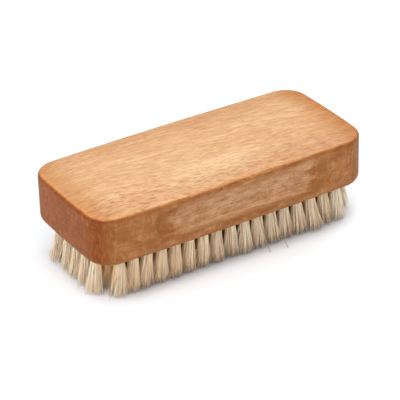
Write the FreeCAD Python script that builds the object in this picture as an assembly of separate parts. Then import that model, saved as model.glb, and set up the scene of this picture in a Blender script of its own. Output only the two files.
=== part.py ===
import FreeCAD, Part
import math
import os

# Hand scrub brush. A one-piece beech block is drilled from below, and each blind hole
# holds a bristle tuft that is folded in half over a flat wire anchor. Millimetres, +Z up.
# The origin is the middle of the plane of the bristle tips, and +X runs along the block.

# Block
block_length = 95.0
block_width = 42.0
block_height = 16.5
corner_radius = 7.7
side_bow = 0.7
end_bow = 0.7
top_edge_radius = 1.5
bottom_edge_radius = 2.6

# Finger recess along each long side, run by a cutter with a flat rim between two bevels
recess_length = 57.0
recess_height = 10.5
recess_floor_height = 6.0
recess_depth = 1.2
recess_cutter_radius = 5.5

# Drilled holes, in columns across the block and rows along it
hole_width = 3.0
hole_depth = 9.0
hole_sides = 6
end_margin = 4.65
side_margin = 5.3
tuft_columns = 19
tuft_rows = 7
corner_columns_left_out = 1

# Bristle tufts
bristle_length = 12.0
fold_width = 2.0
tip_gap = 0.28
tip_spread_share = 0.01

# Flat wire anchors
anchor_height = 2.2
anchor_thickness = 0.4
fold_thickness = 0.6

# Overrun of every cutting tool past the face where it enters
overrun = 1.0

# Heights of the block's faces and of the holes' bottoms
block_bottom = bristle_length
block_top = block_bottom + block_height
hole_bottom = block_bottom + hole_depth

# Hole grid, and the tip width, which is held by the hole's mouth and by the gap between neighbours
column_pitch = (block_length - 2 * end_margin) / (tuft_columns - 1)
row_pitch = (block_width - 2 * side_margin) / (tuft_rows - 1)
tip_scale = 1 + tip_spread_share
corner_share = math.cos(math.pi / hole_sides)
free_width = min(column_pitch * tip_scale - tip_gap, (row_pitch * tip_scale - tip_gap) * corner_share)
mouth_share = hole_depth / (hole_depth + bristle_length)
tip_width = min(free_width, fold_width + (hole_width - fold_width) / mouth_share)

up = FreeCAD.Vector(0, 0, 1)
along = FreeCAD.Vector(1, 0, 0)


def bow_radius(chord, bow):
    """Radius of an arc that bulges by the bow over the chord."""
    return (chord ** 2 / 4 + bow ** 2) / (2 * bow)


def mirrored(points, x_sign, y_sign):
    """Points carried to the other end or side of the block, in the opposite order."""
    return [FreeCAD.Vector(p.x * x_sign, p.y * y_sign, p.z) for p in reversed(points)]


def block_outline():
    """Outline of four bowed sides and four round corners that run into them."""
    half_length = block_length / 2
    half_width = block_width / 2
    side_radius = bow_radius(block_length, side_bow)
    end_radius = bow_radius(block_width, end_bow)
    side_centre = FreeCAD.Vector(0, half_width - side_radius, block_bottom)
    end_centre = FreeCAD.Vector(half_length - end_radius, 0, block_bottom)
    side_offset = Part.Circle(side_centre, up, side_radius - corner_radius)
    end_offset = Part.Circle(end_centre, up, end_radius - corner_radius)
    crossings = [point.toShape().Point for point in side_offset.intersect(end_offset)]
    corner = max(crossings, key=lambda point: point.x + point.y)
    to_side = (corner - side_centre).normalize() * corner_radius
    to_end = (corner - end_centre).normalize() * corner_radius
    to_middle = (to_side + to_end).normalize() * corner_radius
    end_middle = FreeCAD.Vector(half_length, 0, block_bottom)
    side_middle = FreeCAD.Vector(0, half_width, block_bottom)
    corner_points = [corner + to_end, corner + to_middle, corner + to_side]
    half = corner_points + [side_middle] + mirrored(corner_points, -1, 1)
    points = [end_middle] + half + mirrored([end_middle], -1, 1) + mirrored(half, 1, -1)
    points = points[1:] + points[:2]
    return Part.Wire([Part.Arc(*points[k:k + 3]).toShape() for k in range(0, len(points) - 2, 2)])


def edges_at(shape, height):
    """Edges that lie flat at one height."""
    close = shape.BoundBox.DiagonalLength * 1e-6
    flat = []
    for edge in shape.Edges:
        box = edge.BoundBox
        if abs(box.ZMin - height) < close and abs(box.ZMax - height) < close:
            flat.append(edge)
    return flat


def rounded_block():
    """Bowed block with round corners, a small top edge and a fuller bottom edge."""
    block = Part.Face(block_outline()).extrude(up * block_height)
    block = block.makeFillet(top_edge_radius, edges_at(block, block_top))
    return block.makeFillet(bottom_edge_radius, edges_at(block, block_bottom))


def recess_cutter(side):
    """Cutter run along one side: its own round body at each end of the run and the sweep between."""
    middle_height = (block_bottom + bottom_edge_radius + block_top - top_edge_radius) / 2
    face_y = side * block_width / 2
    rim_y = face_y - side * recess_depth
    axis_y = rim_y + side * recess_cutter_radius
    bevel_height = (recess_height - recess_floor_height) / 2
    outside = overrun / bevel_height
    half_height = recess_height / 2 + bevel_height * outside
    shoulder_y = face_y + side * recess_depth * outside
    end_reach = math.sqrt(recess_cutter_radius ** 2 - (recess_cutter_radius - recess_depth) ** 2)
    run = recess_length - 2 * end_reach
    x = -run / 2
    low = middle_height - half_height
    high = middle_height + half_height
    corners = [
        FreeCAD.Vector(x, axis_y, low),
        FreeCAD.Vector(x, shoulder_y, low),
        FreeCAD.Vector(x, rim_y, middle_height - recess_floor_height / 2),
        FreeCAD.Vector(x, rim_y, middle_height + recess_floor_height / 2),
        FreeCAD.Vector(x, shoulder_y, high),
        FreeCAD.Vector(x, axis_y, high),
    ]
    profile = Part.Face(Part.makePolygon(corners + corners[:1]))
    near_end = profile.revolve(corners[0], up, 360)
    far_end = near_end.copy()
    far_end.translate(along * run)
    return profile.extrude(along * run).fuse([near_end, far_end])


def hole_places():
    """Columns of hole centres, without the places that the round corners leave no room for."""
    columns = []
    for column in range(tuft_columns):
        x = (column - (tuft_columns - 1) / 2) * column_pitch
        near_end = min(column, tuft_columns - 1 - column) < corner_columns_left_out
        rows = range(1, tuft_rows - 1) if near_end else range(tuft_rows)
        columns.append([(x, (row - (tuft_rows - 1) / 2) * row_pitch) for row in rows])
    return columns


def ring(x, y, height, width):
    """Corners of a hole or bundle at one height, with flats towards the ends of the block."""
    reach = width / 2 / corner_share
    corners = []
    for k in range(hole_sides):
        angle = (2 * k + 1) * math.pi / hole_sides
        corners.append(FreeCAD.Vector(x + reach * math.cos(angle), y + reach * math.sin(angle), height))
    return corners


def flat_sided_solid(upper, lower):
    """Closed solid of flat faces between two rings of corners whose sides are parallel."""
    loops = [upper, lower]
    for k in range(hole_sides):
        loops.append([upper[k - 1], upper[k], lower[k], lower[k - 1]])
    faces = [Part.Face(Part.makePolygon(loop + loop[:1])) for loop in loops]
    shell = Part.Shell(faces)
    shell.sewShape()
    return Part.Solid(shell)


def drill(x, y):
    """Cutting tool of one blind hole."""
    start = block_bottom - overrun
    return flat_sided_solid(ring(x, y, hole_bottom, hole_width), ring(x, y, start, hole_width))


def anchor(x, y):
    """Flat wire anchor that spans the hole and traps the fold of its tuft."""
    low = hole_bottom - fold_thickness - anchor_height
    corner = FreeCAD.Vector(x - hole_width / 2, y - anchor_thickness / 2, low)
    return Part.makeBox(hole_width, anchor_thickness, anchor_height, corner)


def bundle_ring(x, y, height, width):
    """Section of a bundle, whose middle leans out evenly on both sides of the hole's mouth."""
    centre_scale = 1 + tip_spread_share * (block_bottom - height) / bristle_length
    return ring(x * centre_scale, y * centre_scale, height, width)


def tuft(x, y):
    """Bundle that folds over the anchor in the hole and flares from there to its tips."""
    bundle = flat_sided_solid(bundle_ring(x, y, hole_bottom, fold_width), bundle_ring(x, y, 0, tip_width))
    return bundle.cut(anchor(x, y))


def save(name, solids):
    """Write one node as a group of separate solids."""
    Part.makeCompound(solids).exportStep("parts/" + name + ".step")
    valid = all(solid.isValid() for solid in solids)
    print(name, len(solids), "solids", "valid" if valid else "NOT VALID")


os.makedirs("parts", exist_ok=True)
columns = hole_places()
places = [place for column in columns for place in column]
block = rounded_block().cut([recess_cutter(side) for side in (-1, 1)])
block = block.cut([drill(x, y) for x, y in places])
save("block", block.Solids)
for number, column in enumerate(columns, start=1):
    save(f"tuft_column_{number:02d}", [tuft(x, y) for x, y in column])
    save(f"anchor_column_{number:02d}", [anchor(x, y) for x, y in column])
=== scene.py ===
import math

import bmesh
import bpy
import numpy as np
from mathutils import Matrix, Vector
from mathutils.geometry import delaunay_2d_cdt


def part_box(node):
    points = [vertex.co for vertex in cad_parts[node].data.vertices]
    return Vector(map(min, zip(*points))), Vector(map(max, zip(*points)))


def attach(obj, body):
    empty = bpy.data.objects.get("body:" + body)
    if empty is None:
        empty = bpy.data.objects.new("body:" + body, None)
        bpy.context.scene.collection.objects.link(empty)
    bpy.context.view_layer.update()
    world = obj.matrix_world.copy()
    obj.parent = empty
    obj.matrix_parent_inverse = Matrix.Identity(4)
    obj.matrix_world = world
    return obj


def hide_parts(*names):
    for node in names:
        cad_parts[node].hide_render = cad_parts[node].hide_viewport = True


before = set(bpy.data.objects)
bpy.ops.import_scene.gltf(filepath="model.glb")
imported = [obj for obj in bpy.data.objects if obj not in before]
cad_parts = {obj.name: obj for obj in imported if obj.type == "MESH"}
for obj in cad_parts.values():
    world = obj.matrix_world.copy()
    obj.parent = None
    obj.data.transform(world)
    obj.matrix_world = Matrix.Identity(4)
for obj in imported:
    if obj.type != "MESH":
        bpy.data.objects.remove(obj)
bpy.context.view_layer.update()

# The beech block. One piece of steamed beech with its grain along X, moulded to a bowed outline
# with round corners, run with a finger recess along both long sides, sanded and oiled. Its blind
# holes are drilled from below, and the oil has sunk deepest into the end grain. Shade is painted
# into its colour along its rounded edges, towards its rear and towards its near end.
mm = 0.001
block_low, block_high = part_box("block")
half_length = block_high[0]
half_width = block_high[1]
block_bottom = block_low[2]
block_top = block_high[2]
corner_radius = 7.7 * mm
side_bow = 0.7 * mm
end_bow = 0.7 * mm
top_edge_radius = 1.5 * mm
bottom_edge_radius = 2.6 * mm
recess_length = 57.0 * mm
recess_floor_height = 6.0 * mm
recess_bevel_height = 2.25 * mm
recess_depth = 1.2 * mm
recess_cutter_radius = 5.5 * mm
recess_arris_softness = 0.7 * mm
recess_middle = (block_bottom + bottom_edge_radius + block_top - top_edge_radius) / 2
hole_radius = 1.5 * mm
hole_mouth_chamfer = 0.12 * mm
hole_depth = 9.0 * mm
hole_sides = 24
columns_of_holes = 19
rows_of_holes = 7
anchor_thickness = 0.4 * mm
back_land = 0.4 * mm
end_steps = 10
corner_steps = 14
side_steps = 44
edge_steps = 8
wall_steps = 28
sharpest_smooth_bend = math.radians(35)
point_closeness = 1e-9


def bow_radius(chord, bow):
    """Radius of an arc that bulges by the bow over the chord."""
    return (chord ** 2 / 4 + bow ** 2) / (2 * bow)


def tuft_places():
    """Hole centres of each column across the block, read from the anchors that sit in the holes."""
    columns = []
    for number in range(1, columns_of_holes + 1):
        low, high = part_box(f"anchor_column_{number:02d}")
        rows = rows_of_holes if 1 < number < columns_of_holes else rows_of_holes - 2
        first = low[1] + anchor_thickness / 2
        last = high[1] - anchor_thickness / 2
        x = (low[0] + high[0]) / 2
        columns.append([(x, y) for y in np.linspace(first, last, rows)])
    return columns


def block_outline():
    """Points of the bowed outline with the directions that they face, anticlockwise from the end."""
    side_radius = bow_radius(2 * half_length, side_bow)
    end_radius = bow_radius(2 * half_width, end_bow)
    side_centre = Vector((0, half_width - side_radius))
    end_centre = Vector((half_length - end_radius, 0))
    between = end_centre - side_centre
    span = between.length
    near, far = side_radius - corner_radius, end_radius - corner_radius
    along = (near ** 2 - far ** 2 + span ** 2) / (2 * span)
    aside = math.sqrt(near ** 2 - along ** 2)
    unit = between / span
    corner_centre = side_centre + unit * along + Vector((unit.y, -unit.x)) * aside
    to_corner = corner_centre - end_centre
    from_side = corner_centre - side_centre
    end_angle = math.atan2(to_corner.y, to_corner.x)
    side_angle = math.atan2(from_side.y, from_side.x)
    arcs = [
        (end_centre, end_radius, np.linspace(0, end_angle, end_steps, endpoint=False)),
        (corner_centre, corner_radius,
         np.linspace(end_angle, side_angle, corner_steps, endpoint=False)),
        (side_centre, side_radius,
         np.linspace(side_angle, math.pi / 2, side_steps, endpoint=False)),
    ]
    quarter = []
    for centre, radius, angles in arcs:
        for angle in angles:
            facing = np.array([math.cos(angle), math.sin(angle)])
            quarter.append((np.array(centre) + radius * facing, facing))
    middle = (np.array([0, half_width]), np.array([0.0, 1.0]))
    right = quarter + [middle]
    flip = np.array([-1, 1])
    back = [(place * flip, facing * flip) for place, facing in reversed(quarter)]
    half = right + back
    front = [(place * (1, -1), facing * (1, -1)) for place, facing in reversed(half[1:-1])]
    whole = half + front
    return np.array([place for place, _ in whole]), np.array([facing for _, facing in whole])


def recessed(points):
    """Points of a long side drawn in by the finger recess, with its arrises rounded over."""
    x, y, z = points.T
    rim_distance = recess_cutter_radius - recess_depth
    end_reach = math.sqrt(recess_cutter_radius ** 2 - rim_distance ** 2)
    past_run = np.maximum(np.abs(x) - (recess_length / 2 - end_reach), 0)
    past_floor = np.maximum(np.abs(z - recess_middle) - recess_floor_height / 2, 0)
    radius = recess_cutter_radius - past_floor * recess_depth / recess_bevel_height
    reach = np.sqrt(np.maximum(radius ** 2 - past_run ** 2, 0))
    cut = half_width - recess_depth + recess_cutter_radius - reach
    face = np.abs(y)
    share = np.clip(0.5 + 0.5 * (cut - face) / recess_arris_softness, 0, 1)
    drawn = cut + (face - cut) * share - recess_arris_softness * share * (1 - share)
    facing_side = face > half_width - side_bow - corner_radius / 2
    drawn = np.where(facing_side, np.minimum(drawn, face), face)
    return np.stack([x, np.sign(y) * drawn, z], 1)


def block_mesh(places):
    """Closed mesh of the moulded and drilled block."""
    outline, facing = block_outline()
    points, faces = [], []

    def loop(ring):
        """Adds a ring of points and returns their numbers."""
        first = sum(len(other) for other in points)
        points.append(ring)
        return list(range(first, first + len(ring)))

    def band(low, high):
        """Joins two rings of the same number of points."""
        for k in range(len(low)):
            faces.append((low[k - 1], low[k], high[k], high[k - 1]))

    def level(inset, z):
        """Ring round the block, drawn in from the outline at a height."""
        return np.c_[outline - facing * inset, np.full(len(outline), z)]

    def flat_face(rings):
        """Fills the outer ring round the inner ones with triangles."""
        numbers = [k for ring in rings for k in ring]
        ring_of = [which for which, ring in enumerate(rings) for _ in ring]
        edges, first = [], 0
        for ring in rings:
            edges += [(first + k, first + (k + 1) % len(ring)) for k in range(len(ring))]
            first += len(ring)
        flat = [Vector(place[:2]) for place in np.concatenate(points)[numbers]]
        _, _, triangles, came_from, _, _ = delaunay_2d_cdt(flat, edges, [], 1, point_closeness)
        for triangle in triangles:
            corners = [came_from[k][0] for k in triangle]
            in_a_mouth = len({ring_of[k] for k in corners}) == 1 and ring_of[corners[0]] > 0
            if not in_a_mouth:
                faces.append([numbers[k] for k in corners])

    quarter_turn = np.linspace(0, math.pi / 2, edge_steps)
    underside = block_bottom + bottom_edge_radius
    shoulder = block_top - top_edge_radius
    profile = [(bottom_edge_radius * (1 - math.sin(a)), underside - bottom_edge_radius * math.cos(a))
               for a in quarter_turn]
    profile += [(0, z) for z in np.linspace(underside, shoulder, wall_steps)[1:-1]]
    profile += [(top_edge_radius * (1 - math.cos(a)), shoulder + top_edge_radius * math.sin(a))
                for a in quarter_turn]
    profile.append((top_edge_radius + back_land, block_top))
    rings = [loop(recessed(level(inset, z))) for inset, z in profile]
    for low, high in zip(rings, rings[1:]):
        band(low, high)
    faces.append(rings[-1])

    turn = np.linspace(0, 2 * math.pi, hole_sides, endpoint=False)
    circle = np.c_[np.cos(turn), np.sin(turn)]
    mouths = []
    for place in places:
        walls = []
        for radius, z in (
            (hole_radius + hole_mouth_chamfer, block_bottom),
            (hole_radius, block_bottom + hole_mouth_chamfer),
            (hole_radius, block_bottom + hole_depth),
        ):
            walls.append(loop(np.c_[np.array(place) + circle * radius, np.full(hole_sides, z)]))
        band(walls[0], walls[1])
        band(walls[1], walls[2])
        faces.append(walls[2])
        mouths.append(walls[0])
    flat_face([rings[0]] + mouths)

    mesh = bpy.data.meshes.new("beech_block")
    mesh.from_pydata(np.concatenate(points).tolist(), [], faces)
    shell = bmesh.new()
    shell.from_mesh(mesh)
    bmesh.ops.recalc_face_normals(shell, faces=shell.faces)
    shell.to_mesh(mesh)
    shell.free()
    mesh.shade_smooth()
    mesh.set_sharp_from_angle(angle=sharpest_smooth_bend)
    return mesh


tuft_columns = tuft_places()
hole_centres = [place for column in tuft_columns for place in column]
block = bpy.data.objects.new("beech_block", block_mesh(hole_centres))
bpy.context.collection.objects.link(block)


def srgb(red, green, blue):
    """Shader colour of a tone written in the usual 0 to 255 steps."""
    shares = [level / 255 for level in (red, green, blue)]
    linear = [s / 12.92 if s <= 0.04045 else ((s + 0.055) / 1.055) ** 2.4 for s in shares]
    return (*linear, 1)


def node(tree, kind, inputs=None, **settings):
    """Adds a shader node with its settings, and fills its inputs with values or links."""
    made = tree.nodes.new("ShaderNode" + kind)
    for name, value in settings.items():
        setattr(made, name, value)
    for name, value in (inputs or {}).items():
        socket = made.inputs[name]
        if isinstance(value, bpy.types.NodeSocket):
            tree.links.new(value, socket)
        else:
            socket.default_value = value
    return made


def blend(tree, share, first, second, kind="MIX"):
    """Colour that goes from the first to the second as the share rises, or to their product."""
    mix = node(tree, "Mix", data_type="RGBA", blend_type=kind)
    for socket, value in ((mix.inputs[0], share), (mix.inputs[6], first), (mix.inputs[7], second)):
        if isinstance(value, bpy.types.NodeSocket):
            tree.links.new(value, socket)
        else:
            socket.default_value = value
    return mix.outputs[2]


def ramp(tree, value, low, high, to_low=0.0, to_high=1.0):
    """Value carried smoothly from one range to another."""
    inputs = {"Value": value, "From Min": low, "From Max": high, "To Min": to_low, "To Max": to_high}
    return node(tree, "MapRange", inputs, interpolation_type="SMOOTHSTEP").outputs[0]


def spread(tree, share, low, high):
    """Share carried to a range of its own."""
    return ramp(tree, share, 0, 1, low, high)


def either_way(tree, share, reach):
    """Share carried to a push of up to the reach, to either side."""
    return spread(tree, share, -reach, reach)


def maths(tree, operation, first, second=0.0):
    """One sum on two values."""
    return node(tree, "Math", {0: first, 1: second}, operation=operation).outputs[0]


def scaled(tree, vector, factors):
    """Vector with each part multiplied by its own factor."""
    return node(tree, "VectorMath", {0: vector, 1: factors}, operation="MULTIPLY").outputs[0]


def noise(tree, place, stretch, detail=2.0, roughness=0.5):
    """Noise whose patches are one over the stretch long in each direction."""
    inputs = {"Vector": scaled(tree, place, stretch), "Scale": 1.0}
    return node(tree, "TexNoise", {**inputs, "Detail": detail, "Roughness": roughness}).outputs


def new_streaks():
    """Node group of streaks drawn out along a direction, such as grain, fibres or scratches."""
    group = bpy.data.node_groups.new("streaks", "ShaderNodeTree")
    kinds = {"Place": "Vector", "Stretch": "Vector"}
    names = ("Place", "Stretch", "Detail", "Roughness", "Low", "High")
    for name in names:
        kind = "NodeSocket" + kinds.get(name, "Float")
        group.interface.new_socket(name, in_out="INPUT", socket_type=kind)
    group.interface.new_socket("Share", in_out="OUTPUT", socket_type="NodeSocketFloat")
    given = group.nodes.new("NodeGroupInput").outputs
    place, stretch, detail, roughness, low, high = (given[name] for name in names)
    cloud = noise(group, place, stretch, detail, roughness)["Fac"]
    result = group.nodes.new("NodeGroupOutput").inputs["Share"]
    group.links.new(ramp(group, cloud, low, high), result)
    return group


streaks_group = new_streaks()


def streaks(tree, place, stretch, detail, roughness, low, high):
    """Share of the streaks: 0 where their noise is under low, and 1 where it is over high."""
    inputs = {"Place": place, "Stretch": stretch, "Detail": detail, "Roughness": roughness}
    inputs.update({"Low": low, "High": high})
    return node(tree, "Group", inputs, node_tree=streaks_group).outputs["Share"]


def new_material(name):
    """Material with nothing but its surface shader, and the place of each point in millimetres."""
    material = bpy.data.materials.new(name)
    material.use_nodes = True
    tree = material.node_tree
    shader = tree.nodes["Principled BSDF"]
    place = node(tree, "TexCoord").outputs["Object"]
    per_mm = node(tree, "VectorMath", {0: place, "Scale": 1 / mm}, operation="SCALE").outputs[0]
    return material, tree, shader, per_mm


def times(tree, first, *others):
    """Product of shares."""
    for other in others:
        first = maths(tree, "MULTIPLY", first, other)
    return first


def plus(tree, first, second):
    """Sum of two values."""
    return maths(tree, "ADD", first, second)


def distance(tree, value, middle):
    """How far a value lies from a middle, to either side."""
    return maths(tree, "ABSOLUTE", maths(tree, "SUBTRACT", value, middle))


def swayed(tree, place, stretch, reach):
    """Place pushed aside by slow noise, so that straight grain runs in waves."""
    cloud = noise(tree, place, stretch)["Color"]
    sway = node(tree, "VectorMath", {0: cloud, 1: (0.5, 0.5, 0.5)}, operation="SUBTRACT").outputs[0]
    push = scaled(tree, sway, (0.0, reach, reach))
    return node(tree, "VectorMath", {0: place, 1: push}, operation="ADD").outputs[0]


# Each pattern of the grain: whether it follows the waves of the grain, its patches per millimetre
# along X, Y and Z, the detail and roughness of its noise, and where it starts and is full. A ray is
# a thin sheet along X and Z, so it shows as a dash on the back and an upright line on the ends.
grain_patterns = {
    "layers": (True, (0.04, 0.5, 0.7), 3.0, 0.6, 0.36, 0.66),
    "lines": (True, (0.09, 0.9, 1.0), 1.0, 0.5, 0.44, 0.6),
    "fibres": (True, (0.09, 1.9, 2.1), 3.0, 0.65, 0.36, 0.68),
    "long_rays": (True, (0.32, 3.4, 0.24), 1.0, 0.5, 0.54, 0.66),
    "short_rays": (True, (0.5, 3.8, 0.6), 1.0, 0.5, 0.54, 0.7),
    "pale_lines": (True, (0.08, 1.2, 1.6), 2.0, 0.5, 0.5, 0.68),
    "rings": (True, (0.3, 0.2, 1.9), 2.0, 0.5, 0.44, 0.6),
    "slow_change": (True, (0.03, 0.1, 0.09), 2.0, 0.5, 0.35, 0.65),
    "uprights": (False, (2.4, 2.4, 0.3), 2.0, 0.5, 0.46, 0.66),
    "blotches": (False, (0.18, 0.3, 0.26), 3.0, 0.6, 0.36, 0.66),
}
grain_slope = -0.1
grain_sways = (((0.022, 0.045, 0.045), 7.0), ((0.15, 0.35, 0.35), 0.9))

# The grain dips along a line of the back towards the near end, and bends at the end itself. Each
# ramp says where it starts and ends in millimetres, and its values there.
dip_line = -3.0
dip_across = (2.0, 14.0, 1.0, 0.0)
dip_along = (-40.0, -8.0, 3.4, 0.0)
end_bend_along = (-48.0, -36.0, -2.0, 0.0)


def beech_grain(tree, place):
    """Shares of the patterns that the growth layers, fibres and rays of the wood make."""
    x, y, _ = node(tree, "SeparateXYZ", {0: place}).outputs
    in_the_dip = ramp(tree, distance(tree, y, dip_line), *dip_across)
    dip = times(tree, ramp(tree, x, *dip_along), in_the_dip)
    bend = plus(tree, dip, ramp(tree, x, *end_bend_along))
    drift = node(tree, "CombineXYZ", {1: plus(tree, times(tree, x, grain_slope), bend)}).outputs[0]
    wavy = node(tree, "VectorMath", {0: place, 1: drift}, operation="SUBTRACT").outputs[0]
    for stretch, reach in grain_sways:
        wavy = swayed(tree, wavy, stretch, reach)
    grain = {}
    for name, (follows_waves, *pattern) in grain_patterns.items():
        grain[name] = streaks(tree, wavy if follows_waves else place, *pattern)
    return grain


# Ramps that mark the zones of the block: where each starts and is full, and its share at both where
# that isn't 0 and 1. The first four go by how squarely a face looks that way. The others are in
# millimetres: along the block, in from its outline, down from its back, or out from a middle line.
recess_reach = recess_length / mm / 2
recess_sill_height = (recess_middle - recess_floor_height / 2 - recess_bevel_height) / mm
zone_ramps = {
    "end_grain": (0.4, 0.85),
    "back": (0.34, 0.74),
    "back_edge": (0.97, 0.6),
    "corners": (0.1, 0.5),
    "near_end": (12.0, -42.0),
    "far_end_start": (28.0, 35.0),
    "far_end_stop": (45.0, 39.0),
    "end_strip": (-1.0, 13.0, 1.0, 0.0),
    "end_strip_along": (-30.0, 30.0, 0.62, 0.95),
    "front_strip": (-1.0, 14.0, 1.0, 0.0),
    "front_strip_along": (-30.0, 45.0, 0.25, 0.6),
    "rear_shade_strip": (-1.0, 16.0, 0.4, 0.0),
    "front_half": (0.0, -18.0),
    "pale_band_across": (1.0, 8.0, 1.0, 0.0),
    "pale_band_along": (3.0, 22.0, 1.0, 0.0),
    "edge_line_start": (0.6, 1.15),
    "edge_line_stop": (1.2, 2.1, 1.0, 0.0),
    "recess_across": (4.2, 6.4, 1.0, 0.0),
    "recess_along": (recess_reach - 6.5, recess_reach - 2.5, 1.0, 0.0),
    "recess_end_start": (recess_reach - 5.0, recess_reach - 2.5),
    "recess_end_stop": (recess_reach - 1.0, recess_reach + 2.0, 1.0, 0.0),
    "sill_across": (0.3, 1.2, 1.0, 0.0),
    "sill_along": (recess_reach - 3.0, recess_reach + 2.0, 1.0, 0.0),
}
pale_band_line = -10.0
recess_middle_along = 2.0

# How far, in millimetres, the grain pushes the borders of the zones to either side
rim_unevenness = 1.0
edge_line_unevenness = 0.3
edge_line_rise_at_ends = 0.4
recess_end_unevenness = 1.2
sill_unevenness = 0.5

# How strongly something shows at the first place and at the second
rays_at_rear_and_front = (0.6, 1.0)
blotches_off_and_in_recess = (0.95, 0.5)
uprights_off_and_in_blotches = (1.0, 0.3)
back_edge_at_sides_and_ends = (0.5, 1.0)
edge_line_at_sides_and_ends = (0.7, 1.0)


def block_zones(tree, place, grain):
    """Shares of the block's faces and edges, of what oil left on them, and of the shade painted on
    them.
    """
    x, y, z = node(tree, "SeparateXYZ", {0: place}).outputs
    facing = node(tree, "NewGeometry").outputs["Normal"]
    face_x, face_y, face_z = node(tree, "SeparateXYZ", {0: facing}).outputs
    far_x = maths(tree, "ABSOLUTE", x)

    def zone(name, value):
        """Share of one zone, by the value that marks it."""
        return ramp(tree, value, *zone_ramps[name])

    end_grain = zone("end_grain", maths(tree, "ABSOLUTE", face_x))
    # Painted shade: the sides darken towards the near end, where less light falls on them
    near_end = zone("near_end", x)
    far_end = times(tree, zone("far_end_start", x), zone("far_end_stop", x))

    # Rim of the back, whose inner border follows the growth layers
    unevenly = either_way(tree, grain["layers"], rim_unevenness)
    from_end = plus(tree, maths(tree, "SUBTRACT", half_length / mm, far_x), unevenly)
    from_rear = plus(tree, maths(tree, "SUBTRACT", half_width / mm, y), unevenly)
    from_front = plus(tree, plus(tree, half_width / mm, y), unevenly)
    pale_band = zone("pale_band_across", distance(tree, y, pale_band_line))

    # Rounded edge of the back, darkened with painted shade, and the ragged dark line of painted shade
    # under it
    raggedness = plus(tree, either_way(tree, grain["lines"], edge_line_unevenness),
                      spread(tree, end_grain, 0.0, edge_line_rise_at_ends))
    drop = plus(tree, maths(tree, "SUBTRACT", block_top / mm, z), raggedness)
    line = times(tree, zone("edge_line_start", drop), zone("edge_line_stop", drop))
    edge_at_ends = spread(tree, end_grain, *back_edge_at_sides_and_ends)
    corner = zone("corners", maths(tree, "ABSOLUTE", times(tree, face_x, face_y)))

    # Finger recess: its lighter floor, its ends and its lower sill
    in_band = zone("recess_across", distance(tree, z, recess_middle / mm))
    from_middle = plus(tree, distance(tree, x, recess_middle_along),
                       either_way(tree, grain["blotches"], recess_end_unevenness))
    end_start = zone("recess_end_start", from_middle)
    end_stop = zone("recess_end_stop", from_middle)
    above_sill = plus(tree, maths(tree, "SUBTRACT", z, recess_sill_height),
                      either_way(tree, grain["blotches"], sill_unevenness))
    sill = zone("sill_across", maths(tree, "ABSOLUTE", above_sill))
    recess = times(tree, zone("recess_along", from_middle), in_band)

    # Patterns that show in part of the block only
    towards_front = spread(tree, zone("front_half", y), *rays_at_rear_and_front)
    in_the_open = spread(tree, recess, *blotches_off_and_in_recess)
    between_blotches = spread(tree, grain["blotches"], *uprights_off_and_in_blotches)
    return {
        "back": zone("back", face_z),
        "back_middle": times(tree, zone("pale_band_along", far_x), pale_band),
        "back_front": times(tree, zone("front_strip", from_front), zone("front_strip_along", x)),
        # Painted shade: the back darkens towards its rear, where the light falls off
        "back_rear_shade": zone("rear_shade_strip", from_rear),
        "back_ends": times(tree, zone("end_strip", from_end), zone("end_strip_along", x)),
        "back_edge": times(tree, zone("back_edge", face_z), edge_at_ends),
        "back_long_rays": times(tree, grain["long_rays"], towards_front),
        "back_short_rays": times(tree, grain["short_rays"], towards_front),
        "edge_line": times(tree, line, spread(tree, end_grain, *edge_line_at_sides_and_ends)),
        "end": end_grain,
        "near_end": near_end,
        "far_end": far_end,
        "near_corners": times(tree, corner, near_end),
        "recess": recess,
        "recess_ends": times(tree, end_start, end_stop, in_band),
        "recess_sill": times(tree, sill, zone("sill_along", far_x)),
        "side_blotches": times(tree, grain["blotches"], in_the_open),
        "worn_uprights": times(tree, grain["uprights"], between_blotches),
    }


# Tones of the wood, laid one over the other: the share where each shows, how strongly it covers,
# and its tone. Painted shade and oil darken by multiplying instead, so that the grain shows through
# it.
back_tones = ((241, 199, 151), (236, 190, 143))
back_layers = (
    ("layers", 0.36, (230, 178, 124)),
    ("lines", 0.36, (216, 154, 98)),
    ("fibres", 0.42, (212, 150, 98)),
    ("pale_lines", 0.4, (247, 214, 168)),
    ("back_middle", 0.6, (255, 218, 172)),
    ("back_front", 1.0, (204, 146, 106)),
    # Painted shade towards the rear of the back
    ("back_rear_shade", 1.0, (190, 130, 84)),
    ("back_ends", 1.0, (196, 122, 56)),
)
# Painted shade on the back's rounded edge, deeper where oil sank into the end grain
edge_shade_and_oil = (204, 169, 110)
back_rays = (
    ("back_long_rays", 0.6, (168, 104, 58)),
    ("back_short_rays", 0.55, (172, 106, 60)),
)
side_tones = ((172, 117, 66), (160, 105, 56))
side_layers = (
    ("recess", 0.85, (194, 152, 114)),
    ("side_blotches", 1.0, (144, 90, 42)),
    ("lines", 0.25, (136, 84, 40)),
    ("fibres", 0.55, (130, 78, 38)),
    ("worn_uprights", 0.18, (206, 160, 116)),
    ("long_rays", 0.16, (200, 156, 114)),
    ("short_rays", 0.35, (128, 78, 40)),
    ("recess_ends", 0.55, (128, 76, 34)),
    ("recess_sill", 0.5, (124, 72, 34)),
    # Painted shade towards the near end
    ("near_end", 0.22, (120, 64, 22)),
    ("far_end", 0.2, (124, 70, 30)),
)
end_tones = ((142, 79, 33), (130, 70, 27))
end_layers = (
    ("uprights", 0.5, (176, 110, 64)),
    ("long_rays", 0.5, (118, 60, 26)),
    ("rings", 0.45, (112, 58, 22)),
    ("blotches", 0.3, (146, 84, 42)),
)
# Painted shade at the rounded corners of the near end, with the oil in their end grain
corner_oil_and_shade = (231, 219, 186)
# Painted shade along the ragged line under the back's edge
edge_line_shade = (234, 198, 112)
edge_line_strength = 0.85
roughness_off_and_on_fibres = (0.5, 0.62)
pore_depth = 0.05 * mm


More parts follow.
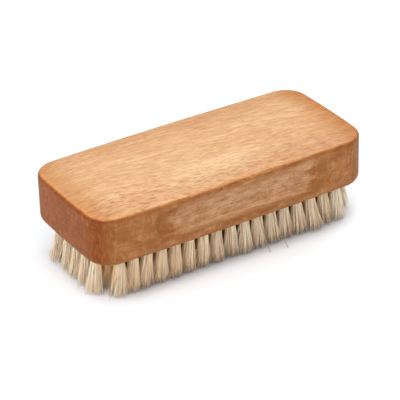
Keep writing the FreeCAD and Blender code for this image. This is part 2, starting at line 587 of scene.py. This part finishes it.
def beech_material():
    """Oiled beech: pale back, browner sides and ends, darker rim and recess ends, and painted shade.
    """
    material, tree, shader, place = new_material("oiled_beech")
    share = beech_grain(tree, place)
    share.update(block_zones(tree, place, share))

    def covered(colour, layers):
        """Colour under layers of tones."""
        for name, strength, tone in layers:
            colour = blend(tree, times(tree, share[name], strength), colour, srgb(*tone))
        return colour

    def wood(tones, layers):
        """Ground of two tones that change slowly into each other, under its layers."""
        ground = blend(tree, share["slow_change"], srgb(*tones[0]), srgb(*tones[1]))
        return covered(ground, layers)

    def darkened_by_tone(colour, name, strength, tone):
        """Colour darkened by multiplying in a tone, for painted shade and for oil."""
        return blend(tree, times(tree, share[name], strength), colour, srgb(*tone), "MULTIPLY")

    # The back's rounded edge is darkened with painted shade, deeper over the end grain, where oil
    # sank in
    back = covered(darkened_by_tone(wood(back_tones, back_layers), "back_edge", 1.0, edge_shade_and_oil), back_rays)
    colour = blend(tree, share["end"], wood(side_tones, side_layers), wood(end_tones, end_layers))
    # The rounded corners at the near end are darkened with painted shade and the oil in their end
    # grain
    colour = darkened_by_tone(colour, "near_corners", 1.0, corner_oil_and_shade)
    colour = blend(tree, share["back"], colour, back)
    # The ragged line under the back's edge is painted shade
    colour = darkened_by_tone(colour, "edge_line", edge_line_strength, edge_line_shade)
    tree.links.new(colour, shader.inputs["Base Color"])
    roughness = spread(tree, share["fibres"], *roughness_off_and_on_fibres)
    tree.links.new(roughness, shader.inputs["Roughness"])
    shader.inputs["Specular IOR Level"].default_value = 0.15
    pores = plus(tree, plus(tree, share["long_rays"], share["short_rays"]), share["fibres"])
    height = times(tree, pores, -1.0)
    bump = node(tree, "Bump", {"Strength": 0.35, "Distance": pore_depth, "Height": height})
    tree.links.new(bump.outputs[0], shader.inputs["Normal"])
    return material


block.data.materials.append(beech_material())
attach(block, "root")
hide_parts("block")

# The bristle tufts. Each is a bundle of pale natural bristles, folded in half over a flat wire and
# driven into its hole, so that two layers of ends stand out side by side. The trimmed ends spread,
# cling together in locks, and leave the mouths of the holes visible between the bundles.
strands_per_tuft = 320
strand_sides = 4
strand_steps = 7
root_depth = 2.0 * mm
bundle_radius = 1.4 * mm
tip_flare = 2.15
strand_radius = 0.09 * mm
tip_radius = 0.045 * mm
thinnest_strand, thickest_strand = 0.75, 1.2
golden_turn = math.pi * (3 - math.sqrt(5))
turn_spread = 0.15
locks_per_tuft = 16
lock_pull = 0.25
lock_loyalty = 0.8
tip_scatter = 0.3 * mm
tuft_lean = 0.35 * mm
lean_along = ((-0.9, -0.8, -0.6, -0.3, 0.0, 0.9), (-1.1, -1.9, -1.7, -0.9, -0.1, 1.1))
splayed = {(1, 4): (-0.9, 0.6)}
length_spread = 0.5 * mm
flare_power = 1.3
wave_reach = 0.07 * mm
fewest_wave_turns, most_wave_turns = 4, 9
widest_wave_shift = 6.3
taper_power = 2
stray_share = 0.08
stray_reach = 1.3 * mm
tip_lift = 0.5 * mm
most_lift_share = 2
bent_thickness = 1.7
bent_bristles = {12: ((10.5, -21.4),), 13: ((16.5, -22.2),)}
field_edge = np.max(np.abs(np.concatenate(tuft_columns)), axis=0) + bundle_radius

# Tone of a bristle, from 0 for brown to 1 for cream, and how it changes along the block and
# towards the tip. The end tufts are made paler as painted light, and the tips darker as painted
# contact shade together with their own soil
usual_tone = 0.8
strand_tone_spread = 0.27
tuft_tone_spread = 0.08
darkest_strand = 0.3
stray_browning = 0.4
light_and_browning_along = ((-1.0, -0.8, -0.5, 0.0, 0.65, 0.85), (-0.25, -0.2, 0.05, 0.04, 0.08, -0.45))
tip_shade_and_soil = 0.38
tip_shade_along = ((-1.0, -0.3, 0.1, 0.7, 0.9), (0.1, 0.5, 0.9, 0.6, 0.1))
tuft_tip_shade_power, strand_tip_shade_power = 3, 6
# Painted shade: bristles deep among the tufts and towards their roots turn warm brown
deep_shade_start = 0.5 * mm
deep_shade_end = 2.4 * mm
first_seed = 1000
map_margin = 0.1


def tuft_strands(place, bent_tips, lean, rng):
    """Centre lines, radii and tones of the bristles of one tuft."""
    count = strands_per_tuft
    order = np.arange(count)
    reach = bundle_radius * np.sqrt((order + 0.5) / count)
    turn = order * golden_turn + rng.normal(0, turn_spread, count)
    root = np.c_[reach * np.cos(turn), reach * np.sin(turn)]
    seeds = root[rng.choice(count, locks_per_tuft, replace=False)]
    nearest = np.argmin(np.linalg.norm(root[:, None] - seeds[None], axis=2), axis=1)
    loyal = rng.random(count) < lock_loyalty
    lock = np.where(loyal, nearest, rng.integers(0, locks_per_tuft, count))
    stray = rng.random((count, 1)) < stray_share
    scatter = np.where(stray, stray_reach, tip_scatter)
    tip = root * tip_flare
    tip += (seeds[lock] * tip_flare - tip) * lock_pull
    tip += rng.normal(0, tuft_lean, 2) + rng.normal(0, 1, (count, 2)) * scatter
    tip[:, 0] += np.interp(place[0] / half_length, *lean_along) * mm
    tip += np.array(lean) * mm
    tip_height = np.abs(rng.normal(0, length_spread, count))
    past_edge = np.max(np.abs(np.array(place) + tip) - field_edge, axis=1)
    lift_share = np.clip(1 + past_edge / bundle_radius, 0, most_lift_share)
    tip_height += tip_lift * rng.random(count) * lift_share
    thickness = rng.uniform(thinnest_strand, thickest_strand, (count, 1))
    bent = np.argsort(root[:, 1])[:len(bent_tips)]
    tip[bent] = np.reshape(bent_tips, (-1, 2)) * mm - place
    tip_height[bent] = tip_radius
    thickness[bent] = bent_thickness

    start = block_bottom + root_depth
    share = np.linspace(0, 1, strand_steps)
    height = start + (tip_height[:, None] - start) * share
    out = np.clip((block_bottom - height) / block_bottom, 0, 1) ** flare_power
    wave_turns = rng.uniform(fewest_wave_turns, most_wave_turns, (count, 1))
    wave_shift = rng.uniform(0, widest_wave_shift, (count, 1))
    wave = wave_reach * np.sin(share * wave_turns + wave_shift) * out
    wave_side = rng.uniform(0, 2 * math.pi, (count, 1))
    line = np.empty((count, strand_steps, 3))
    line[:, :, 0] = place[0] + root[:, :1] + (tip - root)[:, :1] * out + wave * np.cos(wave_side)
    line[:, :, 1] = place[1] + root[:, 1:] + (tip - root)[:, 1:] * out + wave * np.sin(wave_side)
    line[:, :, 2] = height
    radius = (strand_radius + (tip_radius - strand_radius) * share ** taper_power) * thickness

    along = place[0] / half_length
    # Painted contact shade, with the tips' own soil: each bristle darkens at its tip, by how far
    # along the block its tuft stands
    tip_darkening = tip_shade_and_soil * rng.random((count, 1)) * share ** strand_tip_shade_power
    tip_darkening += tip_shade_and_soil * np.interp(along, *tip_shade_along) * share ** tuft_tip_shade_power
    # Painted light makes the end tufts paler, while strays are browner
    browner = np.interp(along, *light_and_browning_along) + stray_browning * stray
    tone = rng.normal(usual_tone, strand_tone_spread, (count, 1))
    tone += rng.normal(0, tuft_tone_spread)
    tone = np.maximum(tone - browner, darkest_strand) - tip_darkening
    tone[bent] = 0
    return line, radius, np.clip(tone, 0, 1)


def deep_shade_share(line):
    """Painted shade of each bristle point: how far it lies inside the field of tufts and towards its
    root.
    """
    inside = (field_edge - np.abs(line[:, :, :2])).min(2)
    deep = np.clip((inside - deep_shade_start) / (deep_shade_end - deep_shade_start), 0, 1)
    return deep * np.clip(line[:, :, 2] / block_bottom, 0, 1)


def add_length_map(mesh, count, steps):
    """Lays each bristle out in its own cell of a square grid, so that its tones can be baked."""
    grid = math.ceil(math.sqrt(count))
    cells = np.stack([np.arange(count) % grid, np.arange(count) // grid], axis=-1)
    across = np.linspace(map_margin, 1 - map_margin, strand_sides + 1)
    along = np.linspace(map_margin, 1 - map_margin, steps)
    spots = np.stack(np.meshgrid(across, along), axis=-1)
    walls = np.stack([spots[:-1, :-1], spots[1:, :-1], spots[1:, 1:], spots[:-1, 1:]], axis=2)
    square = np.array([(0, 0), (1, 0), (1, 1), (0, 1)]) * map_margin / 2
    root_cap = square + (0.5, map_margin / 4)
    tip_cap = square + (0.5, 1 - map_margin * 3 / 4)
    laid_out = []
    for part in (walls, root_cap, tip_cap):
        cell_corners = cells.reshape((count,) + (1,) * (part.ndim - 1) + (2,))
        laid_out.append((cell_corners + part).reshape(-1, 2))
    layer = mesh.uv_layers.new(name="OFBake")
    layer.data.foreach_set("uv", (np.concatenate(laid_out) / grid).astype(np.float32).ravel())


def strand_mesh(name, line, radius, tone, deep_shade, rng):
    """Closed thin tapered rods along the centre lines, with their tones and a map of their length."""
    count, steps = radius.shape
    around = np.linspace(0, 2 * math.pi, strand_sides, endpoint=False)
    turn = rng.uniform(0, 2 * math.pi, (count, 1)) + around
    ring = np.stack([np.cos(turn), np.sin(turn), np.zeros_like(turn)], 2)
    points = line[:, :, None, :] + ring[:, None, :, :] * radius[:, :, None, None]
    number = np.arange(count * steps * strand_sides).reshape(count, steps, strand_sides)
    after = np.roll(number, -1, 2)
    wall_corners = [number[:, :-1], number[:, 1:], after[:, 1:], after[:, :-1]]
    walls = np.stack(wall_corners, axis=-1).reshape(-1, 4)
    caps = np.concatenate([number[:, 0], number[:, -1, ::-1]])
    mesh = bpy.data.meshes.new(name)
    mesh.from_pydata(points.reshape(-1, 3).tolist(), [], np.concatenate([walls, caps]).tolist())
    mesh.shade_smooth()
    add_length_map(mesh, count, steps)
    for title, values in (("tone", tone), ("deep_shade", deep_shade)):
        layer = mesh.attributes.new(title, "FLOAT", "POINT")
        layer.data.foreach_set("value", np.repeat(values.ravel(), strand_sides).astype(np.float32))
    return mesh


brown_tone, cream_tone = (204, 156, 114), (255, 235, 206)
# Dark tone of the tips in painted contact shade, and of the darkest bristles
dark_tip_tone = (130, 100, 74)
# Warm tint painted in for the warmer light among the tufts of the near half
warm_end_tint = (254, 242, 230)
# Painted light on the tufts at the near end
pale_end_tone = (255, 244, 224)
streak_tone = (226, 200, 168)
# Warm brown of the painted shade deep among the tufts
deep_shade_tone = (248, 190, 126)

# Where each of those tones starts and is full, and its share at both: by the bristle's own tone, by
# millimetres along the block, and by how deep in the painted shade it lies
dark_tip_ramp = (0.25, 0.0, 0.0, 0.7)
warm_end_ramp = (5.0, -22.0)
pale_end_ramp = (-36.0, -44.0, 0.0, 0.25)
deep_shade_ramp = (0.0, 0.6, 0.0, 0.85)
bristle_streaks = ((1.5, 1.5, 0.25), 2.0, 0.5, 0.35, 0.7)
streak_strength = 0.35


def bristle_material():
    """Pale bristle, cream to beige from strand to strand, with warm brown shade painted deep among
    the tufts.
    """
    material, tree, shader, place = new_material("pale_bristle")
    tone = node(tree, "Attribute", attribute_name="tone").outputs["Fac"]
    deep_shade = node(tree, "Attribute", attribute_name="deep_shade").outputs["Fac"]
    x = node(tree, "SeparateXYZ", {0: place}).outputs[0]
    darkest_share = ramp(tree, tone, *dark_tip_ramp)
    warm_end = ramp(tree, x, *warm_end_ramp)
    pale_end = ramp(tree, x, *pale_end_ramp)
    streak = times(tree, streaks(tree, place, *bristle_streaks), streak_strength)
    colour = blend(tree, tone, srgb(*brown_tone), srgb(*cream_tone))
    # Painted contact shade and soil at the tips
    colour = blend(tree, darkest_share, colour, srgb(*dark_tip_tone))
    # Painted warm light among the tufts of the near half
    colour = blend(tree, warm_end, colour, srgb(*warm_end_tint), "MULTIPLY")
    # Painted light on the tufts at the near end
    colour = blend(tree, pale_end, colour, srgb(*pale_end_tone))
    colour = blend(tree, streak, colour, srgb(*streak_tone))
    # Painted shade deep among the tufts
    colour = blend(tree, ramp(tree, deep_shade, *deep_shade_ramp), colour, srgb(*deep_shade_tone))
    tree.links.new(colour, shader.inputs["Base Color"])
    shader.inputs["Roughness"].default_value = 0.5
    shader.inputs["Specular IOR Level"].default_value = 0.2
    shader.inputs["Subsurface Weight"].default_value = 0.6
    shader.inputs["Subsurface Radius"].default_value = (1.0, 0.8, 0.6)
    shader.inputs["Subsurface Scale"].default_value = 0.3 * mm
    return material


bristle = bristle_material()
for number, column in enumerate(tuft_columns, start=1):
    rng = np.random.default_rng(first_seed + number)
    bent_tips = bent_bristles.get(number, ())
    bundles = []
    for row, place in enumerate(column):
        lean = splayed.get((number, row), (0, 0))
        bundles.append(tuft_strands(place, () if row else bent_tips, lean, rng))
    line, radius, tone = (np.concatenate(parts) for parts in zip(*bundles))
    name = f"bristle_column_{number:02d}"
    mesh = strand_mesh(name, line, radius, tone, deep_shade_share(line), rng)
    bundle = bpy.data.objects.new(name, mesh)
    bpy.context.collection.objects.link(bundle)
    bundle.data.materials.append(bristle)
    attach(bundle, "root")
    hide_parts(f"tuft_column_{number:02d}")


# The anchors. Short lengths of flat steel wire, pressed across the holes over the folds of the
# bundles, so that their cut ends bite into the wood. They keep the shape that the frame gives them.
bright_steel, dull_steel = (205, 201, 193), (160, 155, 147)
wire_scratches = ((0.6, 14.0, 14.0), 2.0, 0.5, 0.3, 0.7)
wire_roughness = 0.28
scratch_roughness = 0.17


def wire_material():
    """Drawn flat steel wire with fine scratches along its length."""
    material, tree, shader, place = new_material("flat_wire")
    scratch = streaks(tree, place, *wire_scratches)
    colour = blend(tree, scratch, srgb(*bright_steel), srgb(*dull_steel))
    roughness = plus(tree, times(tree, scratch, scratch_roughness), wire_roughness)
    tree.links.new(colour, shader.inputs["Base Color"])
    tree.links.new(roughness, shader.inputs["Roughness"])
    shader.inputs["Metallic"].default_value = 1.0
    return material


wire = wire_material()
for number in range(1, columns_of_holes + 1):
    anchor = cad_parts[f"anchor_column_{number:02d}"]
    anchor.data.materials.clear()
    anchor.data.materials.append(wire)

# The table and the light. A white table under a wide soft lamp, with a weaker lamp in front and one
# at the left, and the camera where the photograph was taken from.
view_turn = math.radians(-31.58)
view_rise = math.radians(29.85)
view_roll = math.radians(-1.54)
view_distance = 645.0 * mm
view_target = Vector((-0.49, 0.18, 11.45)) * mm
picture_width_px = 400
focal_length_px = 2135.73
lamp_aim = Vector((0, 0, 0.015))
lamps = (
    ("ceiling_lamp", (-0.03, 0.02, 0.9), (0.5, 0.5), 1.5),
    ("front_lamp", (-0.08, -0.62, 0.22), (0.35, 0.3), 1.15),
    ("left_lamp", (-0.56, -0.22, 0.24), (0.35, 0.3), 1.55),
)
surround_light = 0.75
table_size = 4.0
table_white = (0.91, 0.945, 0.98, 1)
contact_shade = (0.08, 0.055, 0.035, 1)
contact_reach = 6.5 * mm
contact_samples = 16
contact_left_ramp = (-42.0 * mm, -32.0 * mm, 0.1, 1.2)
contact_right_ramp = (40.0 * mm, 52.0 * mm, 1.0, 0.1)
own_white_ramp = (20.0 * mm, 52.0 * mm, 0.1, 0.28)

level_away = Vector((math.sin(view_turn), -math.cos(view_turn), 0))
away = level_away * math.cos(view_rise) + Vector((0, 0, math.sin(view_rise)))
level_right = Vector((math.cos(view_turn), math.sin(view_turn), 0))
level_up = away.cross(level_right)
right = level_right * math.cos(view_roll) + level_up * math.sin(view_roll)
upward = level_up * math.cos(view_roll) - level_right * math.sin(view_roll)
camera = bpy.data.objects.new("camera", bpy.data.cameras.new("camera"))
camera.data.lens = camera.data.sensor_width * focal_length_px / picture_width_px
camera.data.clip_start = 0.01
camera_turn = Matrix((right, upward, away)).transposed().to_4x4()
camera.matrix_world = Matrix.Translation(view_target + away * view_distance) @ camera_turn
bpy.context.collection.objects.link(camera)
bpy.context.scene.camera = camera

for name, place, size, power in lamps:
    lamp = bpy.data.objects.new(name, bpy.data.lights.new(name, "AREA"))
    lamp.data.shape = "RECTANGLE"
    lamp.data.size, lamp.data.size_y = size
    lamp.data.energy = power
    lamp.location = place
    lamp.rotation_euler = (Vector(place) - lamp_aim).to_track_quat("Z", "Y").to_euler()
    bpy.context.collection.objects.link(lamp)


def seen(tree):
    """1 for rays from the camera, a reflection or a clear surface, and 0 for light on things."""
    path = node(tree, "LightPath").outputs
    mirrored = maths(tree, "MAXIMUM", path["Is Glossy Ray"], path["Is Transmission Ray"])
    return maths(tree, "MAXIMUM", path["Is Camera Ray"], mirrored)


world = bpy.data.worlds.new("white_studio")
world.use_nodes = True
bpy.context.scene.world = world
sky = world.node_tree.nodes["Background"]
sky.inputs["Color"].default_value = (1, 1, 1, 1)
strength = spread(world.node_tree, seen(world.node_tree), surround_light, 1.0)
world.node_tree.links.new(strength, sky.inputs["Strength"])

# The table has a contact shadow painted into its colour in the narrow gap under the tips, and
# glows a little white of its own, more towards the right, as painted light where the lamps leave it
# greyer than a white table looks.
table_material = bpy.data.materials.new("white_table")
table_material.use_nodes = True
tree = table_material.node_tree
paper = tree.nodes["Principled BSDF"]
across = node(tree, "SeparateXYZ", {0: node(tree, "TexCoord").outputs["Object"]}).outputs[0]
crevice = node(tree, "AmbientOcclusion", {"Distance": contact_reach}, samples=contact_samples)
left_to_front = ramp(tree, across, *contact_left_ramp)
front_to_right = ramp(tree, across, *contact_right_ramp)
covered_share = maths(tree, "SUBTRACT", 1.0, crevice.outputs["AO"])
shade = times(tree, covered_share, times(tree, left_to_front, front_to_right))
tree.links.new(blend(tree, shade, table_white, contact_shade), paper.inputs["Base Color"])
paper.inputs["Roughness"].default_value = 0.9
paper.inputs["Specular IOR Level"].default_value = 0.0
paper.inputs["Emission Color"].default_value = (1, 1, 1, 1)
own_white = ramp(tree, across, *own_white_ramp)
tree.links.new(times(tree, seen(tree), own_white), paper.inputs["Emission Strength"])
clear = node(tree, "BsdfTransparent")
under = node(tree, "MixShader", {0: node(tree, "NewGeometry").outputs["Backfacing"]})
tree.links.new(paper.outputs[0], under.inputs[1])
tree.links.new(clear.outputs[0], under.inputs[2])
tree.links.new(under.outputs[0], tree.nodes["Material Output"].inputs["Surface"])
table = bpy.data.objects.new("white_table", bpy.data.meshes.new("white_table"))
half = table_size / 2
corners = [(-half, -half, 0), (half, -half, 0), (half, half, 0), (-half, half, 0)]
table.data.from_pydata(corners, [], [(0, 1, 2, 3)])
table.data.materials.append(table_material)
bpy.context.collection.objects.link(table)

bpy.context.scene.view_settings.view_transform = "Standard"
